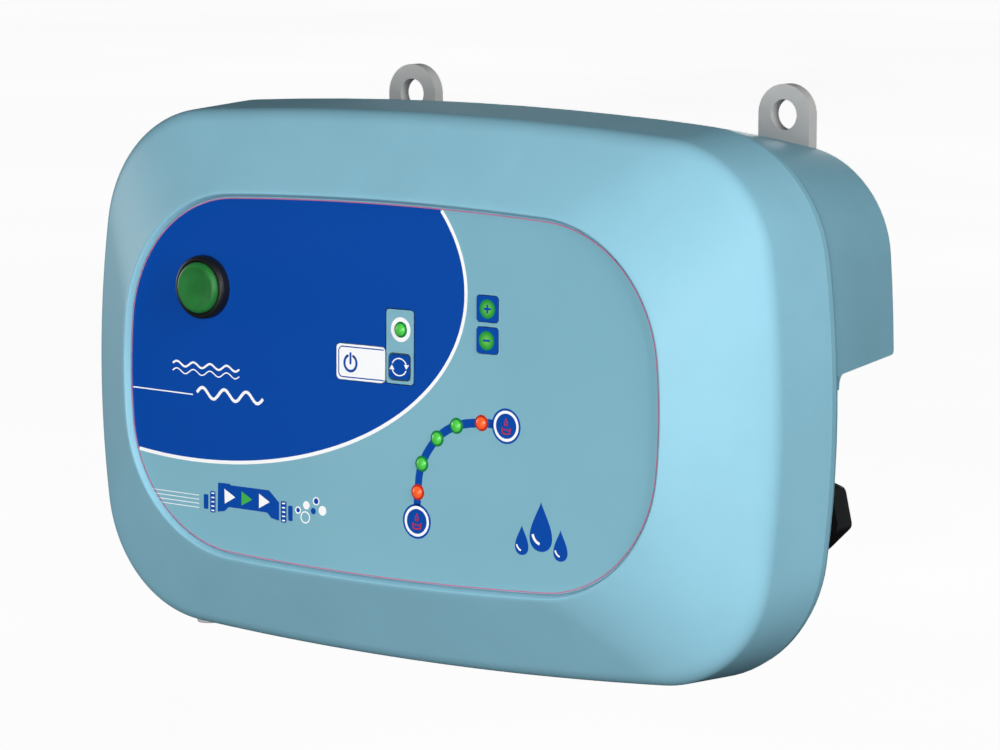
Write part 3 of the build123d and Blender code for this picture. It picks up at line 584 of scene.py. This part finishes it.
# ---------------------------------------------------------------- main push switch
# Black moulded bezel and body, screwed through the front wall, with a dished green cap that
# slides in it.
def rounded_over(r, front, radius):
    """Profile of a quarter circle from a front face at r, outwards and back."""
    angle = np.linspace(0, math.pi / 2, 9)
    return list(zip(r + radius * np.sin(angle), front + radius - radius * np.cos(angle)))


switch_black = moulded("switch_black", colour(17, 18, 20), 0.45, mottle=0.12, grain=0.000018, gloss=0.3)
bezel_front = LABEL_FACE - 4.3
well = [(1.0, -103.6), (4.05, -103.6), (4.05, -124.0), (9.45, -124.0),
        (9.45, bezel_front + 0.35), (9.75, bezel_front)]
barrel = [(11.4, LABEL_FACE - 0.15), (11.2, LABEL_FACE), (9.95, LABEL_FACE),
          (9.95, -98.4), (9.5, -98.0), (1.0, -98.0)]
bezel_shape = turned([*well, *rounded_over(9.8, bezel_front, 1.6), *barrel], SWITCH_X, LABEL_Z + SWITCH_Z)
switch_bezel = mesh_piece("switch_bezel_ring", [wrap(bezel_shape, "fans")], switch_black)
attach(switch_bezel, "case")
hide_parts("switch_bezel")

cap_gloss = {"Coat Weight": 0.05, "Coat Roughness": 0.3, "Specular IOR Level": 0.25}
cap_green, shader, place = finish_named("cap_green", cap_gloss)
cloud = place.noise(160.0, 4.0)
cloud.ramp(0.3, 0.7).mix(colour(31, 106, 46), colour(38, 118, 54)).into(shader, "Base Color")
(place.noise(1800.0) * 0.12 + 0.4).into(shader, "Roughness")
(place.noise(1800.0) + cloud * 0.4).bump(0.000012).into(shader, "Normal")
cap_front, dish_radius, dish_depth = LABEL_FACE - 6.0, 36.0, 0.75
dish_r = np.linspace(0.6, 6.9, 12)
dish_y = cap_front + dish_depth - dish_radius + np.sqrt(dish_radius**2 - dish_r**2)
dish = [*zip(dish_r, dish_y), (7.25, cap_front + 0.06)]
stem = [(9.25, -127.35), (9.1, -127.2), (4.0, -127.2), (4.0, -107.3), (3.7, -107.0), (0.5, -107.0)]
cap_shape = turned([*dish, *rounded_over(7.45, cap_front, 1.8), *stem], SWITCH_X, LABEL_Z + SWITCH_Z)
cap = mesh_piece("power_button_cap", [wrap(cap_shape, "fans")], cap_green, 50.0)
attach(cap, "power_button")
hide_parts("power_button")


# ---------------------------------------------------------------- indicator lamps
# Five millimetre lamps of clear tinted resin on the display board; their domes stand just proud of the film
# on a thin rim, brighter in the middle than at the rim, where the darker colour is painted shade.
def lens(name, middle, painted_rim_shade, centres, glow):
    """Tinted resin: from the middle colour to the rim's painted shade by the distance to the nearest lamp's axis."""
    resin = {"Coat Weight": 0.1, "Coat Roughness": 0.2, "Specular IOR Level": 0.35, "Emission Strength": glow}
    material, shader, place = finish_named(name, resin)
    flat = place.node("ShaderNodeVectorMath", {"operation": "MULTIPLY"}, {0: place, 1: (1.0, 0.0, 1.0)})
    nearest = None
    for x, z in centres:
        axis = (x * 0.001, 0.0, (LABEL_Z + z) * 0.001)
        away = place.node("ShaderNodeVectorMath", {"operation": "DISTANCE"}, {0: flat, 1: axis}, 1)
        nearest = away if nearest is None else nearest.maths("MINIMUM", nearest, away)
    # painted shade: the colour darkens from the middle to each lamp's rim, and the glow takes it too
    tint = nearest.ramp(0.0018, 0.0024).mix(middle, painted_rim_shade)
    tint.into(shader, "Base Color")
    tint.into(shader, "Emission Color")
    (place.noise(900.0) * 0.1 + 0.22).into(shader, "Roughness")
    place.noise(500.0).bump(0.000006).into(shader, "Normal")
    return material


dome_r = np.linspace(0.3, 2.4, 10)
dome_y = -126.0 - np.sqrt(2.5**2 + 2.0**2 - dome_r**2)
lamp_rim = [(2.8, -128.13), (2.87, LABEL_FACE), (2.5, LABEL_FACE)]
lamp_collar = [(2.5, -118.0), (2.9, -117.8), (2.9, -116.8), (0.4, -116.8)]
lamp_profile = [*zip(dome_r, dome_y), *lamp_rim, *lamp_collar]
# each lamp's second colour is the painted shade at its rim
green_lens = lens("lens_green", colour(72, 182, 66), colour(16, 112, 52), GREEN_LEDS, 0.25)
orange_lens = lens("lens_orange", colour(240, 88, 36), colour(160, 34, 18), ORANGE_LEDS, 0.25)
for tint, centres, finish in (("green", GREEN_LEDS, green_lens), ("orange", ORANGE_LEDS, orange_lens)):
    lamp_parts = [wrap(turned(lamp_profile, x, LABEL_Z + z, 40), "fans") for x, z in centres]
    lamp = mesh_piece(tint + "_lamps", lamp_parts, finish)
    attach(lamp, "case")
    "lens_" + tint
    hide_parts(tint + "_leds")
flow_arrow = np.array([(-65.5, -41.5), (-60.5, -44.1), (-65.6, -46.7)])
flow_mark = mesh_piece("label_flow_mark", [film([flow_arrow], *layer(2))], ink("ink_green", colour(70, 176, 78)))
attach(flow_mark, "case")


# ---------------------------------------------------------------- hanging ears
# Flat moulded tabs in light grey plastic, screwed into pockets in the back of the housing.
ear_grey = moulded("ear_grey", colour(186, 186, 185), roughness=0.55, mottle=0.05, grain=0.00004)
for name, x in (("left_wall_ear", -84.6), ("right_wall_ear", 84.6)):
    edge = np.concatenate([arc(x, 0, 11.0, 11.0, 0, 180, 49), [(x - 11.0, -40.0), (x + 11.0, -40.0)]])
    loops = [loop - [0, LABEL_Z] for loop in (edge, circle(x, 0, 5.5), circle(x, -29.0, 3.65, 40))]
    ear = mesh_piece(name + "_plate", [film(loops, -4.9, 0.0)], ear_grey)
    bevel = ear.modifiers.new("edge", "BEVEL")
    bevel.width, bevel.segments = 0.0004, 3
    bevel.limit_method, bevel.angle_limit = "ANGLE", math.radians(50)
    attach(ear, "case")
    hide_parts(name)


# ---------------------------------------------------------------- lead sleeve
# Soft grey sleeve for a sensor's lead, gripped between cover and housing at the lower left.
sleeve_grey = moulded("sleeve_grey", colour(188, 189, 191), roughness=0.55, mottle=0.06, grain=0.00003)
low, high = LABEL_Z - 102.3, LABEL_Z - 76.3
sleeve_profile = [(2.6, low + 0.3), (2.9, low), (4.2, low), (4.55, low + 0.35),
                  (4.55, high - 3.0), (5.6, high - 3.0), (5.6, high), (2.6, high)]
sleeve_shape = turned(sleeve_profile, -123.9, PARTING, 64, upright=True)
sleeve = mesh_piece("lead_sleeve_tube", [wrap(sleeve_shape)], sleeve_grey)
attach(sleeve, "case")
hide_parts("lead_sleeve")


# ---------------------------------------------------------------- cable glands
# Black nylon glands, 24 mm across flats: threaded body with its hexagon against the boss, dome
# nut over a rubber seal, and a locknut inside the case.
gland_black = moulded("gland_black", colour(38, 39, 41), roughness=0.4, mottle=0.10, grain=0.00003)
GLANDS = [(122.0, LABEL_Z - 42.0), (80.0, LABEL_Z - 42.0)]


def hexed(profile, x, z, flats=24.0, turn=-16.7, columns=96):
    """Turned profile cut to a hexagon: at each angle the radius is the lesser of the profile's and the
    hexagon's, which is half the flats over the cosine of the angle from the nearest flat's middle."""
    grid = turned(profile, 0, 0, columns)
    angle = np.linspace(0, 2 * math.pi, columns, endpoint=False)
    from_flat = np.mod(angle - math.radians(turn), math.pi / 3) - math.pi / 6
    radius = np.minimum(np.hypot(grid[..., 0], grid[..., 2]), flats / 2 / np.cos(from_flat))
    return np.stack([x + radius * np.cos(angle), grid[..., 1], z + radius * np.sin(angle)], -1)


thread_y = np.linspace(-53.0, -43.4, 33)
thread = list(zip(8.35 + 0.25 * np.cos(2 * math.pi * thread_y / 1.5), thread_y))
body_profile = [(6.5, -77.0), (9.5, -77.0), (9.9, -76.5), (9.9, -58.0),
                (13.0, -58.0), (13.9, -57.4), (13.9, -53.7), (12.7, -53.0),
                *thread, (8.6, -43.0), (8.6, -34.8), (6.5, -34.8)]
nut_profile = [(8.6, -43.0), (13.3, -43.0), (13.9, -42.6), (13.9, -34.3), (13.4, -34.0),
               (10.8, -34.0), (10.5, -33.4), (8.7, -30.4), (8.2, -30.0),
               (6.5, -30.0), (6.2, -30.3), (6.2, -34.8)]
for name, profile in (("gland_bodies", body_profile), ("gland_dome_nuts", nut_profile)):
    made = mesh_piece(name + "_turned", [wrap(hexed(profile, x, z)) for x, z in GLANDS], gland_black, 28.0)
    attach(made, "case")
    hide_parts(name)


# ---------------------------------------------------------------- screws, seals and parts inside
# Zinc-plated screws and brackets, rubber seals, two green boards with their components, and the
# transformer. These keep their CAD shapes and take the finishes below.
def metal(name, shade, roughness, stretch):
    """Bare metal: noise drawn out along one axis streaks its colour, sheen and surface."""
    material, shader, place = finish_named(name, {"Metallic": 1.0})
    drawn = place.node("ShaderNodeMapping", {}, {0: place, 3: stretch}).noise(700.0, 3.0)
    dark = (*(np.array(shade[:3]) * 0.82).tolist(), 1.0)
    drawn.ramp(0.3, 0.7).mix(dark, shade).into(shader, "Base Color")
    (drawn * 0.2 + (roughness - 0.1)).into(shader, "Roughness")
    drawn.bump(0.00001).into(shader, "Normal")
    return material


def banded(name, light, dark, direction, pitch, depth, roughness, metallic=0.0):
    """Layers side by side along one axis, such as wire turns, steel sheets or ribbon cores: a wave of the
    pitch ribs them and darkens the grooves between them, painted shade for wire turns and cable cores and the dark
    joints for steel sheets."""
    material, shader, place = finish_named(name, {"Metallic": metallic})
    waves = {"Vector": place, "Scale": 0.314 / pitch, "Distortion": 0.3}
    ribs_and_groove_shade = place.node("ShaderNodeTexWave", {"bands_direction": direction}, waves)
    # dark bands: painted shade in the grooves between wire turns and cable cores; on steel sheets the joints between
    # them
    ribs_and_groove_shade.mix(dark, light).into(shader, "Base Color")
    (place.noise(300.0) * 0.15 + (roughness - 0.08)).into(shader, "Roughness")
    ribs_and_groove_shade.bump(depth).into(shader, "Normal")
    return material


steel = metal("zinc_steel", colour(196, 198, 202), 0.32, (1.0, 1.0, 0.2))
rubber = moulded("black_rubber", colour(38, 38, 39), roughness=0.75, mottle=0.1, grain=0.00005)
component_black = moulded("component_black", colour(26, 26, 29), roughness=0.4, mottle=0.1)
board, shader, place = finish_named("solder_mask", {"Coat Weight": 0.4, "Coat Roughness": 0.2})
laid_flat = place.node("ShaderNodeMapping", {}, {0: place, 2: (math.pi / 2, 0, 0)})
track_sizes = {"Scale": 90.0, "Mortar Size": 0.06, "Brick Width": 0.9, "Row Height": 0.22}
tracks = place.node("ShaderNodeTexBrick", {"offset": 0.37}, {"Vector": laid_flat, **track_sizes}, 1)
tracks.mix(colour(26, 96, 50), colour(46, 132, 70)).into(shader, "Base Color")
(place.noise(200.0) * 0.1 + 0.3).into(shader, "Roughness")
tracks.bump(0.00003).into(shader, "Normal")
glass, shader, place = finish_named("fuse_glass", {"Transmission Weight": 0.85, "IOR": 1.5})
place.noise(90.0).mix(colour(214, 226, 226), colour(232, 238, 236)).into(shader, "Base Color")
(place.noise(400.0) * 0.06 + 0.04).into(shader, "Roughness")
nylon = moulded("white_nylon", colour(226, 224, 214), roughness=0.5)
terminal_green = moulded("terminal_green", colour(44, 140, 84), roughness=0.45)
lead_finish = moulded("lead_grey", colour(120, 122, 126), roughness=0.5)
# second colours: painted shade in the grooves of wire and ribbon cable, the joints between the steel sheets
core_sheets = banded("core_sheets", colour(92, 92, 96), colour(52, 52, 56), "Y", 0.0007, 0.00008, 0.5, 0.6)
winding_wire = banded("winding_wire", colour(196, 110, 58), colour(120, 56, 26), "Z", 0.0008, 0.0002, 0.3, 0.5)
ribbon_cores = banded("ribbon_cores", colour(160, 162, 166), colour(112, 114, 118), "X", 0.00127, 0.0002, 0.5)
inner_finishes = {
    steel: ["ear_screws", "cover_screws", "display_screws", "board_screws", "transformer_screws", "heatsink_screws",
            "rectifier_screw", "transformer_brackets", "switch_terminals"],
    rubber: ["gland_seals", "cover_gasket"],
    gland_black: ["switch_nut", "gland_locknuts"],
    component_black: ["bridge_rectifier", "capacitors", "relays", "tact_switches", "fuse_holder"],
    board: ["display_board", "main_board"],
    glass: ["fuse"],
    nylon: ["transformer_bobbin", "ribbon_headers", "lead_connectors"],
    terminal_green: ["mains_terminals", "cell_terminals"],
    lead_finish: ["transformer_leads", "switch_leads"],
    metal("heatsink_aluminium", colour(176, 179, 184), 0.36, (1.0, 1.0, 0.12)): ["heatsink"],
    core_sheets: ["transformer_core"],
    winding_wire: ["transformer_winding"],
    ribbon_cores: ["ribbon_cable"],
}
for finish, names in inner_finishes.items():
    for name in names:
        refinish(name, finish)


# ---------------------------------------------------------------- floor, light and camera
# The box hangs 1.6 m above a plain white floor. Floor and surroundings only fill the view; the light
# comes from softboxes, most of it from the front right, with weaker ones on the left and behind.
floor_mesh = bpy.data.meshes.new("floor")
half, level = 60.0, -1.6
floor_corners = [(-half, -half, level), (half, -half, level), (half, half, level), (-half, half, level)]
floor_mesh.from_pydata(floor_corners, [], [(0, 1, 2, 3)])
floor_finish, shader, place = finish_named("floor_white", {"Emission Strength": 1.0})
place.noise(0.4).mix((0.93, 0.93, 0.93, 1.0), (1.0, 1.0, 1.0, 1.0)).into(shader, "Emission Color")
place.noise(0.7).mix(colour(238, 239, 240), colour(242, 242, 242)).into(shader, "Base Color")
(place.noise(40.0) * 0.1 + 0.75).into(shader, "Roughness")
floor_mesh.materials.append(floor_finish)
floor = bpy.data.objects.new("floor", floor_mesh)
bpy.context.scene.collection.objects.link(floor)
floor.visible_diffuse = floor.visible_glossy = False

world = bpy.data.worlds.new("studio")
world.use_nodes = True
sky = world.node_tree.nodes["Background"]
sky.inputs["Strength"].default_value = 1.0
sky.inputs["Color"].default_value = (1.0, 1.0, 1.0, 1.0)
world.cycles_visibility.diffuse = world.cycles_visibility.glossy = False
bpy.context.scene.world = world
bpy.context.scene.view_settings.view_transform = "Standard"


LAMP_DISTANCE, LAMP_SIZE = 2.4, 0.8
LAMP_AIM = Vector((0, -0.08, -0.09))


def direction(azimuth, elevation):
    """Unit vector out from the box, from angles in radians: azimuth 0 is in front of it and 90 degrees
    on its right, elevation is above the horizon."""
    level_part = math.cos(elevation)
    return Vector((math.sin(azimuth) * level_part, -math.cos(azimuth) * level_part, math.sin(elevation)))


def softbox(name, azimuth, elevation, power):
    """Square area light aimed at the box from a direction in degrees."""
    out = direction(math.radians(azimuth), math.radians(elevation))
    lamp = bpy.data.lights.new(name, "AREA")
    lamp.shape, lamp.size, lamp.size_y, lamp.energy = "RECTANGLE", LAMP_SIZE, LAMP_SIZE, power
    made = bpy.data.objects.new(name, lamp)
    facing = out.to_track_quat("Z", "Y").to_matrix().to_4x4()
    made.matrix_world = Matrix.Translation(LAMP_AIM + out * LAMP_DISTANCE) @ facing
    bpy.context.scene.collection.objects.link(made)


softbox("front_level", 25, 5, 38)
softbox("front_low", 0, -10, 14)
softbox("right_level", 75, 5, 15)
softbox("right_high", 75, 30, 25)
softbox("left_level", -85, 5, 15)
softbox("rear_left", -150, 0, 12)

AZIMUTH, ELEVATION, ROLL = math.radians(37.059), math.radians(7.144), math.radians(0.311)
look_at, distance = Vector((0.0508, -0.1280, -0.0848)), 1.7246
back = direction(AZIMUTH, ELEVATION)
right = Vector((math.cos(AZIMUTH), math.sin(AZIMUTH), 0))
up = back.cross(right)
rolled_right = right * math.cos(ROLL) + up * math.sin(ROLL)
rolled_up = up * math.cos(ROLL) - right * math.sin(ROLL)
lens_data = bpy.data.cameras.new("camera")
lens_data.lens, lens_data.sensor_width, lens_data.clip_end = 180.0, 36.0, 100.0
camera = bpy.data.objects.new("camera", lens_data)
turn = Matrix((rolled_right, rolled_up, back)).transposed().to_4x4()
camera.matrix_world = Matrix.Translation(look_at + back * distance) @ turn
bpy.context.scene.collection.objects.link(camera)
bpy.context.scene.camera = camera
